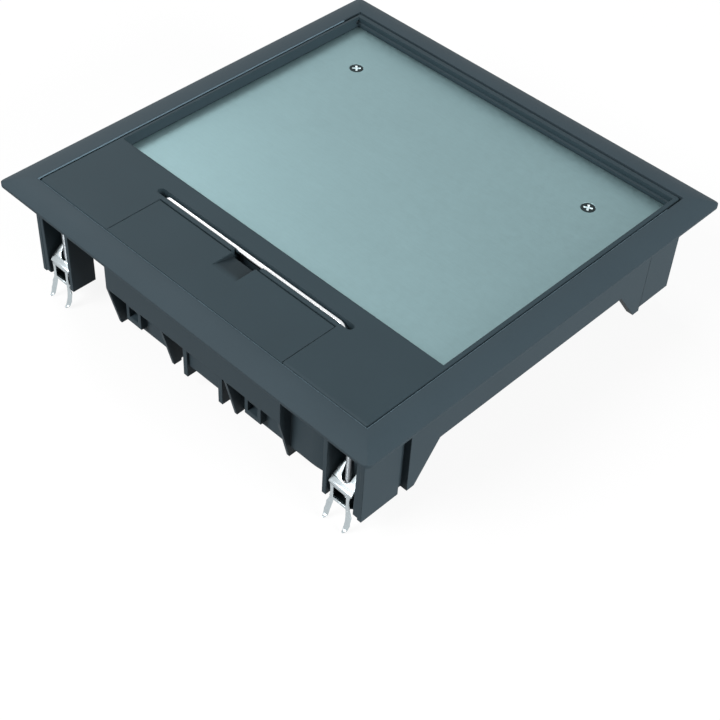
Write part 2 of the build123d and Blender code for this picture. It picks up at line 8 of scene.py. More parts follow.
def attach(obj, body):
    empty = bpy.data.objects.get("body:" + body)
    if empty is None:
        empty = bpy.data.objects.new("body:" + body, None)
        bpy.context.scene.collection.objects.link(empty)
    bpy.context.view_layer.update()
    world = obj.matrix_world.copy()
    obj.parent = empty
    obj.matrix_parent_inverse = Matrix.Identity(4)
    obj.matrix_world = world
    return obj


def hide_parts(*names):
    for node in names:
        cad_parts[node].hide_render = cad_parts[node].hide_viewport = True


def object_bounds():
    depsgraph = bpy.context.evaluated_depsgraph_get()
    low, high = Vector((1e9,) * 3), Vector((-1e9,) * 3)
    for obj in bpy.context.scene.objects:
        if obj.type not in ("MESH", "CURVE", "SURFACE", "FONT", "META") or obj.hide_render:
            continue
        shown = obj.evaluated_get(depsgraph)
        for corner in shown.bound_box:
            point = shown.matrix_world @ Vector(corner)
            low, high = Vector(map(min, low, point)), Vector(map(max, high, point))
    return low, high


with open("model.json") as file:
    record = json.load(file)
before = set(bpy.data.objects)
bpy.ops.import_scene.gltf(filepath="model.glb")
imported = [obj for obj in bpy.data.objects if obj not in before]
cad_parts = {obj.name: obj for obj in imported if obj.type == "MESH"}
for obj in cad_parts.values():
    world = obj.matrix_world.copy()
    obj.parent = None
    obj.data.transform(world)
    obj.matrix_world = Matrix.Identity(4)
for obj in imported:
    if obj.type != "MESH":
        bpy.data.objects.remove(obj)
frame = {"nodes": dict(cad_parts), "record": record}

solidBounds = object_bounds()  # box of the solids, before anything is dressed
topZ = solidBounds[1][2]  # plane of the closed lid
mm = 0.001
print("frame loaded:", len(frame["nodes"]), "nodes")


# Shader maths as Python expressions: a wrapped socket whose operators add Math nodes
class Wire:
    def __init__(self, tree, socket):
        self.tree = tree
        self.socket = socket

    def math(self, operation, *others):
        node = self.tree.nodes.new("ShaderNodeMath")
        node.operation = operation
        for place, value in enumerate((self, *others)):
            plug(self.tree, node.inputs[place], value)
        return Wire(self.tree, node.outputs[0])

    def __add__(self, other):
        return self.math("ADD", other)

    __radd__ = __add__

    def __mul__(self, other):
        return self.math("MULTIPLY", other)

    __rmul__ = __mul__

    def __sub__(self, other):
        return self.math("SUBTRACT", other)

    def __rsub__(self, other):
        return self * -1.0 + other


def plug(tree, socket, value):
    if isinstance(value, Wire):
        tree.links.new(value.socket, socket)
    else:
        socket.default_value = value


# One way to make nodes, in materials and in geometry trees alike
class Graph:
    def __init__(self, tree):
        self.tree = tree

    def add(self, kind, settings=None, sockets=None, out=0):
        node = self.tree.nodes.new(kind)
        for key, value in (settings or {}).items():
            setattr(node, key, value)
        for key, value in (sockets or {}).items():
            plug(self.tree, node.inputs[key], value)
        return Wire(self.tree, node.outputs[out])


class Finish(Graph):
    def __init__(self, name):
        self.material = bpy.data.materials.new(name)
        self.material.use_nodes = True
        super().__init__(self.material.node_tree)
        self.tree.nodes.clear()
        self.output = self.tree.nodes.new("ShaderNodeOutputMaterial")

    def place(self, scale=(1.0, 1.0, 1.0)):
        spot = self.add("ShaderNodeTexCoord", out="Object")
        return self.add("ShaderNodeMapping", {}, {"Vector": spot, "Scale": scale})

    def noise(self, spot, scale, detail=3.0, rough=0.5):
        return self.add("ShaderNodeTexNoise", {}, {"Vector": spot, "Scale": scale, "Detail": detail,
                                                   "Roughness": rough}, out="Fac")

    def between(self, mask, dark, light):
        return self.add("ShaderNodeMix", {"data_type": "RGBA"}, {0: mask, 6: dark, 7: light}, out=2)

    def relief(self, height, depth, edge=0.0):
        sockets = {"Height": height, "Distance": depth, "Strength": 1.0}
        if edge:
            sockets["Normal"] = self.add("ShaderNodeBevel", {"samples": 4}, {"Radius": edge})
        return self.add("ShaderNodeBump", {}, sockets)

    def body(self, sockets):
        shader = self.add("ShaderNodeBsdfPrincipled", {}, sockets)
        plug(self.tree, self.output.inputs["Surface"], shader)
        return self.material


def seenDirectly(graph):
    rays = graph.tree.nodes.new("ShaderNodeLightPath")
    kinds = [Wire(graph.tree, rays.outputs[name])
             for name in ("Is Camera Ray", "Is Glossy Ray", "Is Transmission Ray")]
    return (kinds[0] + kinds[1] + kinds[2]).math("MINIMUM", 1.0)


def tint(colour, amount):
    return (*(min(1.0, part * amount) for part in colour), 1.0)


# Camera of the photograph, solved from the straight edges of the flange, lid and plate
cameraSet = {
    "azimuth": 41.81, "elevation": 45.27, "roll": 3.75,
    "distance": 0.6710, "aim": (0.0859, -0.0898), "lens": 73.75, "sensor": 36.0, "nearest": 0.01,
}


def makeCamera(facts):
    azimuth, elevation, roll = (math.radians(facts[key]) for key in ("azimuth", "elevation", "roll"))
    forward = Vector((-math.sin(azimuth) * math.cos(elevation),
                      math.cos(azimuth) * math.cos(elevation), -math.sin(elevation)))
    right = forward.cross(Vector((0, 0, 1))).normalized()
    up = right.cross(forward)
    tiltedRight = math.cos(roll) * right + math.sin(roll) * up
    tiltedUp = math.cos(roll) * up - math.sin(roll) * right
    data = bpy.data.cameras.new("photoCamera")
    data.lens = facts["lens"]
    data.sensor_width = facts["sensor"]
    data.clip_start = facts["nearest"]
    camera = bpy.data.objects.new("photoCamera", data)
    bpy.context.collection.objects.link(camera)
    turn = Matrix((tiltedRight, tiltedUp, -forward)).transposed()
    spot = Vector((*facts["aim"], topZ)) - forward * facts["distance"]
    camera.matrix_world = Matrix.Translation(spot) @ turn.to_4x4()
    bpy.context.scene.camera = camera


makeCamera(cameraSet)
bpy.context.scene.view_settings.view_transform = "Standard"
print("camera set")

# Studio: a floor that is white to the eye and dim to the part, a pale world and three soft lamps
studioSet = {
    "floorHalf": 3.0, "floorDrop": 0.0002, "shadowShare": 0.10, "floorShade": (0.95, 0.95, 0.95, 1.0),
    "floorBounce": (0.08, 0.08, 0.08, 1.0), "worldLight": 0.08,
    "lamps": {
        "skySoft": {"spot": (-1.45, 0.32, 1.46), "size": 0.7, "power": 14.5},
        "frontSoft": {"spot": (-0.43, -1.53, 1.40), "size": 1.0, "power": 43.0},
        "rightSoft": {"spot": (1.97, 0.08, 0.72), "size": 0.9, "power": 49.0},
    },
}


def makeStudio(facts):
    half = facts["floorHalf"]
    mesh = bpy.data.meshes.new("floor")
    edge = [(-half, -half), (half, -half), (half, half), (-half, half)]
    mesh.from_pydata([(x, y, -facts["floorDrop"]) for x, y in edge], [], [(0, 1, 2, 3)])
    floor = bpy.data.objects.new("floor", mesh)
    bpy.context.collection.objects.link(floor)
    paper = Finish("floorPaper")
    seen = seenDirectly(paper)
    shade = paper.between(seen, facts["floorBounce"], facts["floorShade"])
    matt = paper.add("ShaderNodeBsdfDiffuse", {}, {"Color": shade})
    white = paper.add("ShaderNodeEmission", {}, {"Color": (1.0, 1.0, 1.0, 1.0), "Strength": 1.0})
    mixed = paper.add("ShaderNodeMixShader", {}, {0: seen * (1.0 - facts["shadowShare"]), 1: matt, 2: white})
    plug(paper.tree, paper.output.inputs["Surface"], mixed)
    mesh.materials.append(paper.material)

    world = bpy.data.worlds.new("studio")
    bpy.context.scene.world = world
    world.use_nodes = True
    world.node_tree.nodes.clear()
    sky = Graph(world.node_tree)
    glow = seenDirectly(sky) * (1.0 - facts["worldLight"]) + facts["worldLight"]
    ground = sky.add("ShaderNodeBackground", {}, {"Color": (1.0, 1.0, 1.0, 1.0), "Strength": glow})
    out = sky.tree.nodes.new("ShaderNodeOutputWorld")
    plug(sky.tree, out.inputs["Surface"], ground)

    for name, lamp in facts["lamps"].items():
        data = bpy.data.lights.new(name, "AREA")
        data.size = lamp["size"]
        data.energy = lamp["power"]
        thing = bpy.data.objects.new(name, data)
        thing.location = lamp["spot"]
        aim = Vector((0, 0, topZ / 2)) - Vector(lamp["spot"])
        thing.rotation_euler = aim.to_track_quat("-Z", "Y").to_euler()
        bpy.context.collection.objects.link(thing)


makeStudio(studioSet)
print("studio lit")

# Finishes
plasticSet = {
    "frameShade": (0.0325, 0.0500, 0.0610), "lidShade": (0.0248, 0.0410, 0.0500),
    "cupShade": (0.014, 0.018, 0.022), "socketShade": (0.012, 0.012, 0.014),
    "roughness": 0.60, "gloss": 0.14, "grain": 2400.0, "grainDepth": 0.00002, "edgeRound": 0.0007,
    "cloud": 28.0, "fleck": 620.0, "fleckShare": 0.4, "shades": (0.86, 1.14), "roughSpread": 0.10,
}


def mouldedPlastic(name, shade, facts, sunkShade=None):
    finish = Finish(name)
    spot = finish.place()
    grain = finish.noise(spot, facts["grain"], 2.0)
    cloud = finish.noise(spot, facts["cloud"], 4.0)
    fleck = finish.noise(spot, facts["fleck"], 2.0, 0.6)
    mask = cloud * (1 - facts["fleckShare"]) + fleck * facts["fleckShare"]
    colour = finish.between(mask, *(tint(shade, amount) for amount in facts["shades"]))
    # painted shade: below the given level the colour fades to a darker share of the shade, where a recess
    # lies in shadow
    if sunkShade:
        height = finish.add("ShaderNodeSeparateXYZ", {}, {0: spot}, out="Z")
        depth = ((sunkShade["level"] - height) * (1.0 / sunkShade["fade"])).math("MINIMUM", 1.0).math("MAXIMUM", 0.0)
        colour = finish.between(depth, colour, tint(shade, sunkShade["share"]))
    return finish.body({
        "Base Color": colour,
        "Roughness": fleck * facts["roughSpread"] + (facts["roughness"] - facts["roughSpread"] / 2),
        "Specular IOR Level": facts["gloss"],
        "Normal": finish.relief(grain, facts["grainDepth"], facts["edgeRound"]),
    })


plateSet = {
    "shade": (0.204, 0.308, 0.325), "shades": (0.80, 1.14), "roughness": 0.48, "roughSpread": 0.16,
    "spangle": 330.0, "cloud": 14.0, "streak": (60.0, 900.0, 1.0), "shares": (0.45, 0.25, 0.3),
    "metallic": 0.9, "reliefDepth": 0.00001, "edgeRound": 0.0003,
}


def zincSheet(name, facts):
    finish = Finish(name)
    spot = finish.place()
    spangle = finish.noise(spot, facts["spangle"], 3.0, 0.7)
    cloud = finish.noise(spot, facts["cloud"], 3.0)
    rolled = finish.noise(finish.place(facts["streak"]), 1.0, 4.0, 0.7)
    spangleShare, cloudShare, rolledShare = facts["shares"]
    mask = spangle * spangleShare + cloud * cloudShare + rolled * rolledShare
    colour = finish.between(mask, *(tint(facts["shade"], amount) for amount in facts["shades"]))
    return finish.body({
        "Base Color": colour,
        "Metallic": facts["metallic"],
        "Roughness": spangle * facts["roughSpread"] + (facts["roughness"] - facts["roughSpread"] / 2),
        "Normal": finish.relief((rolled + spangle) * 0.5, facts["reliefDepth"], facts["edgeRound"]),
    })


metalSet = {"haze": 260.0, "patch": 1500.0, "shades": (0.82, 1.06), "roughSpread": 0.12, "roughDrop": 0.05,
            "scratch": 0.00001, "edgeRound": 0.0002}


def brightMetal(name, shade, roughness, scratch=metalSet["scratch"]):
    facts = metalSet
    finish = Finish(name)
    spot = finish.place()
    haze = finish.noise(spot, facts["haze"], 4.0, 0.6)
    patch = finish.noise(spot, facts["patch"], 2.0)
    colour = finish.between(haze, *(tint(shade, amount) for amount in facts["shades"]))
    return finish.body({
        "Base Color": colour,
        "Metallic": 1.0,
        "Roughness": haze * facts["roughSpread"] + (roughness - facts["roughDrop"]),
        "Normal": finish.relief(patch, scratch, facts["edgeRound"]),
    })


rubberSet = {"cells": 1700.0, "pit": (0.008, 0.008, 0.009, 1.0), "skin": (0.045, 0.046, 0.048, 1.0),
             "roughness": 0.82, "roughSpread": 0.1, "reliefDepth": 0.0001}


def foamRubber(name, facts):
    finish = Finish(name)
    cells = finish.add("ShaderNodeTexVoronoi", {}, {"Vector": finish.place(), "Scale": facts["cells"]},
                       out="Distance")
    return finish.body({
        "Base Color": finish.between(cells, facts["pit"], facts["skin"]),
        "Roughness": cells * facts["roughSpread"] + facts["roughness"],
        "Normal": finish.relief(cells, facts["reliefDepth"]),
    })


finishes = {
    "frame_plastic": mouldedPlastic("framePolyamide", plasticSet["frameShade"], plasticSet),
    "lid_plastic": mouldedPlastic("lidPolyamide", plasticSet["lidShade"], plasticSet),
    "cup_plastic": mouldedPlastic("cupMoulding", plasticSet["cupShade"], plasticSet),
    "socket_plastic": mouldedPlastic("socketMoulding", plasticSet["socketShade"],
                                     {**plasticSet, "roughness": 0.32, "gloss": 0.4, "grainDepth": 0.00001}),
    "foam": foamRubber("sealFoam", rubberSet),
    "steel_plate": zincSheet("galvanisedSheet", plateSet),
    "polished_steel": brightMetal("polishedWire", (0.86, 0.88, 0.90), 0.14, 0.000004),
    "zinc_steel": brightMetal("zincPlating", (0.22, 0.24, 0.255), 0.34),
    "spring_steel": brightMetal("springSheet", (0.50, 0.56, 0.585), 0.25),
    "pin_steel": brightMetal("pinSteel", (0.62, 0.64, 0.66), 0.3),
}
# dark zinc of the plate screw heads; on the claw tabs the same dark finish is painted shade in the claw
# window
darkZincAndShade = brightMetal("darkZincAndShade", (0.022, 0.034, 0.036), 0.42)
driverShine = brightMetal("driverShine", (0.70, 0.80, 0.82), 0.48)
# painted shade: the flap's finish darkens its finger scoop below the top face, where shade falls
flapPolyamide = mouldedPlastic("flapPolyamide", plasticSet["lidShade"], plasticSet,
                               {"level": topZ - 0.0002, "fade": 0.0008, "share": 0.55})
slotOf = {part["node"]: part["material_slot"] for part in frame["record"]["subparts"]}
for nodeName, thing in frame["nodes"].items():
    thing.data.materials.clear()
    thing.data.materials.append(finishes[slotOf[nodeName]])
frame["nodes"]["cable_flap"].data.materials[0] = flapPolyamide  # darker in its finger scoop
print("finishes given to", len(frame["nodes"]), "nodes")


# Meshes stay in metres in the frame of the solids, with their objects at the origin
def newPiece(name, mesh, body, slotName, replaced=(), finish=None):
    thing = bpy.data.objects.new(name, mesh)
    bpy.context.collection.objects.link(thing)
    mesh.materials.clear()
    mesh.materials.append(finish or finishes[slotName])
    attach(thing, body)
    if replaced:
        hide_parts(*replaced)
    return thing


def meshOf(work, name, smooth=False):
    # the bmesh as a new mesh with its faces outwards; the bmesh is used up
    mesh = bpy.data.meshes.new(name)
    fillMesh(work, mesh, smooth)
    return mesh


def fillMesh(work, mesh, smooth=False):
    bmesh.ops.recalc_face_normals(work, faces=work.faces)
    for face in work.faces:
        face.smooth = smooth
    work.to_mesh(mesh)
    work.free()


def bridge(work, first, second):
    # a band of faces between two closed loops of as many points
    for here in range(len(first)):
        there = (here + 1) % len(first)
        work.faces.new((first[here], first[there], second[there], second[here]))


def evaluated(thing):
    view = bpy.context.evaluated_depsgraph_get()
    return bpy.data.meshes.new_from_object(thing.evaluated_get(view))


def bakeModifiers(thing):
    flat = evaluated(thing)
    old = thing.data
    thing.modifiers.clear()
    thing.data = flat
    bpy.data.meshes.remove(old)


def addBevel(thing, width, angle=30.0):
    edge = thing.modifiers.new("edge", "BEVEL")
    edge.width = width * mm
    edge.segments = 2
    edge.angle_limit = math.radians(angle)


# Where the four claws and their screws stand: the signs of each corner, and its place in mm
corners = {"front_right": (1, -1), "front_left": (-1, -1), "back_right": (1, 1), "back_left": (-1, 1)}
clawPlace = (105.0, 113.5)

# Floor claws: a stamped strip of spring steel, folded at the strap, one at each corner.
# Sizes are in mm, and a run is measured down the sheet from the fold; negative runs are the horns.
clawSet = {
    "face": 119.3, "foldHeight": 24.3, "sheet": 0.9, "foldRound": 0.9, "edge": 0.16, "edgeAngle": 50.0,
    "rowStep": 0.3, "probe": 0.001, "sheetWeld": 0.01, "edgeWeld": 0.002,
    "hornTop": 13.8, "hornLean": 38.0, "hornTaper": (0.08, 0.32, 2.4), "tipWidth": 0.4,
    "notchFoot": 3.6, "notchHalf": 3.0, "notchRound": 2.4, "notchFlare": 0.14,
    "strapHalf": 7.5, "strapCorner": 1.0, "strapFoot": 0.8,
    "legHalf": 6.4, "legWaist": 0.3, "windowHalf": 4.2, "windowTop": 1.6, "windowFoot": 9.3,
    "crossFoot": 10.8, "toeEnd": 0.6, "toeHalf": 8.0, "toeSpread": 0.5, "toeReach": 2.9, "toeBend": 1.9,
    "footInner": 5.2, "footOpening": 1.6, "barbs": (0.30, 0.68), "barbSize": 0.3, "barbLength": 0.07,
    "tipFrom": 0.82, "tipCut": (1.3, 0.9), "curlFrom": 0.86, "curlOut": 1.5, "curlUp": 0.75,
}


def footShare(facts, run):
    return (run - facts["crossFoot"]) / (facts["foldHeight"] - facts["crossFoot"] - facts["toeEnd"])


def clawOutline(facts, run):
    # half widths of the strip, outer and inner, at that run
    if run < 0:
        rise = -run / facts["hornTop"]
        linear, steep, power = facts["hornTaper"]
        outer = facts["strapHalf"] * (1 - linear * rise - steep * rise ** power)
        opening = -run - facts["notchFoot"]
        if opening <= 0:
            return outer, 0.0
        inner = facts["notchHalf"] * min(1.0, math.sqrt(opening / facts["notchRound"]))
        inner += facts["notchFlare"] * max(0.0, opening - facts["notchRound"])
        return outer, min(inner, outer - facts["tipWidth"])
    if run <= facts["strapFoot"]:
        return facts["strapHalf"] - facts["strapCorner"] * (run / facts["strapFoot"]) ** 2, 0.0
    if run < facts["windowTop"]:
        return facts["legHalf"], 0.0
    if run < facts["windowFoot"]:
        down = (run - facts["windowTop"]) / (facts["windowFoot"] - facts["windowTop"])
        return facts["legHalf"] - facts["legWaist"] * math.sin(math.pi * down), facts["windowHalf"]
    if run < facts["crossFoot"]:
        return facts["legHalf"], 0.0
    reach = footShare(facts, run)
    spread = min(1.0, reach / facts["toeSpread"])
    outer = facts["legHalf"] + (facts["toeHalf"] - facts["legHalf"]) * spread * (2 - spread)
    for barb in facts["barbs"]:
        outer += facts["barbSize"] * math.exp(-((reach - barb) / facts["barbLength"]) ** 2)
    inner = facts["windowHalf"]
    inner += (facts["footInner"] - facts["windowHalf"]) * min(1.0, reach * facts["footOpening"])
    tip = max(0.0, (reach - facts["tipFrom"]) / (1 - facts["tipFrom"]))
    return outer - facts["tipCut"][0] * tip ** 2, inner + facts["tipCut"][1] * tip ** 2


def clawSpot(facts, run):
    # depth behind the face and height of the sheet's mid-line at that run
    if run < 0:
        lean = math.radians(facts["hornLean"])
        ease = min(1.0, -run / facts["foldRound"])
        return -run * math.sin(lean) * ease, facts["foldHeight"] - run * math.cos(lean)
    height = facts["foldHeight"] - run
    if run <= facts["crossFoot"]:
        return 0.0, height
    reach = footShare(facts, run)
    curl = max(0.0, (reach - facts["curlFrom"]) / (1 - facts["curlFrom"]))
    depth = -facts["toeReach"] * reach ** facts["toeBend"] - facts["curlOut"] * curl ** 1.5
    return depth, height + facts["curlUp"] * curl ** 2


def makeClaw(facts, corner, signs):
    breaks = [-facts["hornTop"], -facts["notchFoot"], 0.0, facts["strapFoot"], facts["windowTop"],
              facts["windowFoot"], facts["crossFoot"], facts["foldHeight"] - facts["toeEnd"]]
    work = bmesh.new()
    for start, stop in zip(breaks, breaks[1:]):
        steps = max(1, round((stop - start) / facts["rowStep"]))
        rows = []
        for step in range(steps + 1):
            run = start + (stop - start) * step / steps
            inside = min(max(run, start + facts["probe"]), stop - facts["probe"])
            outer, inner = clawOutline(facts, inside)
            back, height = clawSpot(facts, run)
            y = signs[1] * (facts["face"] - facts["sheet"] / 2 - back)
            rows.append([work.verts.new((signs[0] * (clawPlace[0] + x) * mm, y * mm, height * mm))
                         for x in (-outer, -inner, inner, outer)])
        split = clawOutline(facts, (start + stop) / 2)[1] > 0
        for above, below in zip(rows, rows[1:]):
            for left in (0, 2) if split else (0, 1, 2):
                ends = above[left:left + 2], below[left:left + 2]
                if any(one.co != other.co for one, other in ends):
                    work.faces.new((*ends[0], *reversed(ends[1])))
    bmesh.ops.remove_doubles(work, verts=work.verts, dist=facts["sheetWeld"] * mm)
    bmesh.ops.dissolve_degenerate(work, edges=work.edges, dist=facts["sheetWeld"] * mm)
    claw = newPiece("spring_claw_" + corner, meshOf(work, "claw_" + corner), "claw_" + corner,
                    "spring_steel", ["claw_" + corner])
    wall = claw.modifiers.new("sheet", "SOLIDIFY")
    wall.thickness = facts["sheet"] * mm
    wall.offset = 0.0
    addBevel(claw, facts["edge"], facts["edgeAngle"])
    bakeModifiers(claw)
    work = bmesh.new()
    work.from_mesh(claw.data)
    bmesh.ops.remove_doubles(work, verts=work.verts, dist=facts["edgeWeld"] * mm)
    fillMesh(work, claw.data, True)


# Tab bent back from the claw's crossbar, with the hole for the screw
tabSet = {"half": 8.0, "behind": 3.5, "ahead": 4.8, "hole": 2.3, "levels": (14.6, 15.4), "around": 24}


def makeTab(facts, corner, signs):
    outline = []
    for step in range(facts["around"]):
        angle = 2 * math.pi * (step + 0.5) / facts["around"]
        x, y = math.cos(angle), math.sin(angle)
        depth = facts["behind"] if y > 0 else facts["ahead"]
        rim = min(facts["half"] / max(abs(x), 0.001), depth / max(abs(y), 0.001))
        outline.append([(signs[0] * (clawPlace[0] + x * reach), signs[1] * (clawPlace[1] - y * reach))
                        for reach in (rim, facts["hole"])])
    work = bmesh.new()
    low, high = [[[work.verts.new((x * mm, y * mm, level * mm)) for x, y in loop] for loop in zip(*outline)]
                 for level in facts["levels"]]
    for first, second in (low, high, (low[0], high[0]), (low[1], high[1])):
        bridge(work, first, second)
    # painted shade: the tab's dark finish darkens the window of the claw bay, where shade falls
    newPiece("claw_tab_" + corner, meshOf(work, "tab_" + corner), "claw_" + corner, "spring_steel",
             finish=darkZincAndShade)


for corner, signs in corners.items():
    makeClaw(clawSet, corner, signs)
    makeTab(tabSet, corner, signs)
print("claws folded")

# Screws: turned heads with a driver cross
crossSet = {"footShare": 0.52, "above": 0.3}


def turnedSolid(name, profile, around=40):
    work = bmesh.new()
    rings = []
    for radius, height in profile:
        if radius == 0:
            rings.append([work.verts.new((0, 0, height * mm))] * around)
        else:
            rings.append([work.verts.new((radius * mm * math.cos(2 * math.pi * step / around),
                                          radius * mm * math.sin(2 * math.pi * step / around), height * mm))
                          for step in range(around)])
    for low, high in zip(rings, rings[1:]):
        for here in range(around):
            there = (here + 1) % around
            work.faces.new(list(dict.fromkeys((low[here], low[there], high[there], high[here]))))
    return meshOf(work, name)


def driverCross(name, facts, topHeight, shrink=0.0):
    # tapered cross that stands in a head, from its depth to a little above it
    reach, slot = facts["crossReach"] - shrink, facts["crossSlot"] - shrink
    foot = topHeight - facts["crossDepth"] + shrink
    work = bmesh.new()
    loops = []
    for share, height in ((crossSet["footShare"], foot), (1.0, topHeight + crossSet["above"])):
        arm, half = reach * share, slot * (0.5 + 0.5 * share)
        outline = [(arm, -half), (arm, half), (half, half), (half, arm), (-half, arm), (-half, half),
                   (-arm, half), (-arm, -half), (-half, -half), (-half, -arm), (half, -arm), (half, -half)]
        loops.append([work.verts.new((x * mm, y * mm, height * mm)) for x, y in outline])
    bridge(work, *loops)
    for loop in loops:
        work.faces.new(loop)
    return meshOf(work, name)


def combine(mesh, other, operation="DIFFERENCE"):
    # the mesh less the other, or what the two share; both are used up
    thing, tool = (bpy.data.objects.new(name, data) for name, data in (("worked", mesh), ("tool", other)))
    for each in (thing, tool):
        bpy.context.collection.objects.link(each)
    cut = thing.modifiers.new("cut", "BOOLEAN")
    cut.operation = operation
    cut.object = tool
    cut.solver = "EXACT"
    result = evaluated(thing)
    for old in (thing, tool):
        used = old.data
        bpy.data.objects.remove(old)
        bpy.data.meshes.remove(used)
    return result


# Rolled thread of the claw screws, grown by Geometry Nodes; the named inputs are in mm
threadSet = {
    "inputs": {"Core radius": 1.60, "Crest radius": 1.97, "Pitch": 0.7, "Length": 48.2, "Point": 1.4,
               "Foot": 10.6},
    "around": 20, "rowsPerTurn": 6, "pointWidth": 0.4, "capShare": 0.0001, "weld": 0.002,
}
headSet = {"seat": 58.5, "radius": 4.0, "height": 2.4, "foot": 0.15, "crown": 1.0,
           "crownAngles": (0.0, 0.4, 0.8, 1.2, math.pi / 2),
           "crossReach": 1.8, "crossSlot": 0.45, "crossDepth": 1.2}


def threadTree(facts):
    sizes = facts["inputs"]
    tree = bpy.data.node_groups.new("rolledThread", "GeometryNodeTree")
    tree.interface.new_socket(name="Head", in_out="INPUT", socket_type="NodeSocketGeometry")
    for name in sizes:
        tree.interface.new_socket(name=name, in_out="INPUT", socket_type="NodeSocketFloat")
    tree.interface.new_socket(name="Finish", in_out="INPUT", socket_type="NodeSocketMaterial")
    tree.interface.new_socket(name="Screw", in_out="OUTPUT", socket_type="NodeSocketGeometry")
    graph = Graph(tree)
    given = tree.nodes.new("NodeGroupInput")
    core, crest, pitch, length, point, foot = (Wire(tree, given.outputs[name]) for name in sizes)
    rows = int(sizes["Length"] / sizes["Pitch"] * facts["rowsPerTurn"]) + 1
    sheet = graph.add("GeometryNodeMeshGrid", {}, {"Size X": 1.0, "Size Y": 1.0,
                                                   "Vertices X": facts["around"] + 1, "Vertices Y": rows})
    parts = tree.nodes.new("ShaderNodeSeparateXYZ")
    plug(tree, parts.inputs[0], graph.add("GeometryNodeInputPosition"))
    turn, rise = Wire(tree, parts.outputs[0]), Wire(tree, parts.outputs[1]) + 0.5
    height = rise * length
    phase = (height.math("DIVIDE", pitch) - turn).math("FRACT")
    flank = 1.0 - (phase * 2.0 - 1.0).math("ABSOLUTE")
    narrowed = height.math("DIVIDE", point) * (1 - facts["pointWidth"]) + facts["pointWidth"]
    taper = narrowed.math("MINIMUM", 1.0)
    closed = rise.math("GREATER_THAN", facts["capShare"]) * rise.math("LESS_THAN", 1 - facts["capShare"])
    radius = (core + (crest - core) * flank) * taper * closed
    angle = turn * (2 * math.pi)
    spot = graph.add("ShaderNodeCombineXYZ", {}, {
        0: angle.math("COSINE") * radius, 1: angle.math("SINE") * radius, 2: height + foot})
    shank = graph.add("GeometryNodeSetPosition", {}, {"Geometry": sheet, "Position": spot})
    shank = graph.add("GeometryNodeMergeByDistance", {}, {"Geometry": shank, "Distance": facts["weld"] * mm})
    shank = graph.add("GeometryNodeSetShadeSmooth", {}, {"Geometry": shank})
    joined = tree.nodes.new("GeometryNodeJoinGeometry")
    tree.links.new(shank.socket, joined.inputs[0])
    tree.links.new(given.outputs["Head"], joined.inputs[0])
    whole = graph.add("GeometryNodeRealizeInstances", {}, {"Geometry": Wire(tree, joined.outputs[0])})
    whole = graph.add("GeometryNodeSetMaterial", {}, {"Geometry": whole,
                                                      "Material": Wire(tree, given.outputs["Finish"])})
    plug(tree, tree.nodes.new("NodeGroupOutput").inputs[0], whole)
    return tree


def growThread(head, tree, facts, finish):
    # the head's mesh with the threaded shank below it
    thing = bpy.data.objects.new("growing", head)
    bpy.context.collection.objects.link(thing)
    grow = thing.modifiers.new("thread", "NODES")
    grow.node_group = tree
    values = {name: size * mm for name, size in facts["inputs"].items()}
    values["Finish"] = finish
    for item in tree.interface.items_tree:
        if item.name in values:
            grow[item.identifier] = values[item.name]
    result = evaluated(thing)
    bpy.data.objects.remove(thing)
    bpy.data.meshes.remove(head)
    return result


def makeClawScrew(facts, corner, signs, tree):
    seat, radius, crown, foot = facts["seat"], facts["radius"], facts["crown"], facts["foot"]
    face = seat + facts["height"]
    profile = [(0, seat), (radius - foot, seat), (radius, seat + foot), (radius, face - crown - foot)]
    profile += [(radius - crown + crown * math.cos(angle), face - crown + crown * math.sin(angle))
                for angle in facts["crownAngles"]]
    profile.append((0, face))
    head = combine(turnedSolid("screwHead", profile), driverCross("cross", facts, face))
    mesh = growThread(head, tree, threadSet, finishes["zinc_steel"])
    place = [sign * distance * mm for sign, distance in zip(signs, clawPlace)]
    mesh.transform(Matrix.Translation((*place, 0)))
    mesh.name = "screw_" + corner
    newPiece("threaded_screw_" + corner, mesh, "screw_" + corner, "zinc_steel", ["claw_screw_" + corner])


thread = threadTree(threadSet)
for corner, signs in corners.items():
    makeClawScrew(headSet, corner, signs, thread)
print("screws threaded")

# Countersunk screws of the plate: dark heads, with a painted highlight in each cross as a bright lining
plateScrewSet = {"centre": (84.5, 81.3), "face": 68.56, "radius": 3.95, "shank": 1.9, "foot": 63.0,
                 "edge": 0.12, "end": 0.5, "crossReach": 2.9, "crossSlot": 0.66, "crossDepth": 0.8,
                 "highlightLining": 0.12, "liningPlay": 0.01, "liningRadius": 3.0, "liningSunk": 0.02,
                 "turns": {-1: 45, 1: 28}}


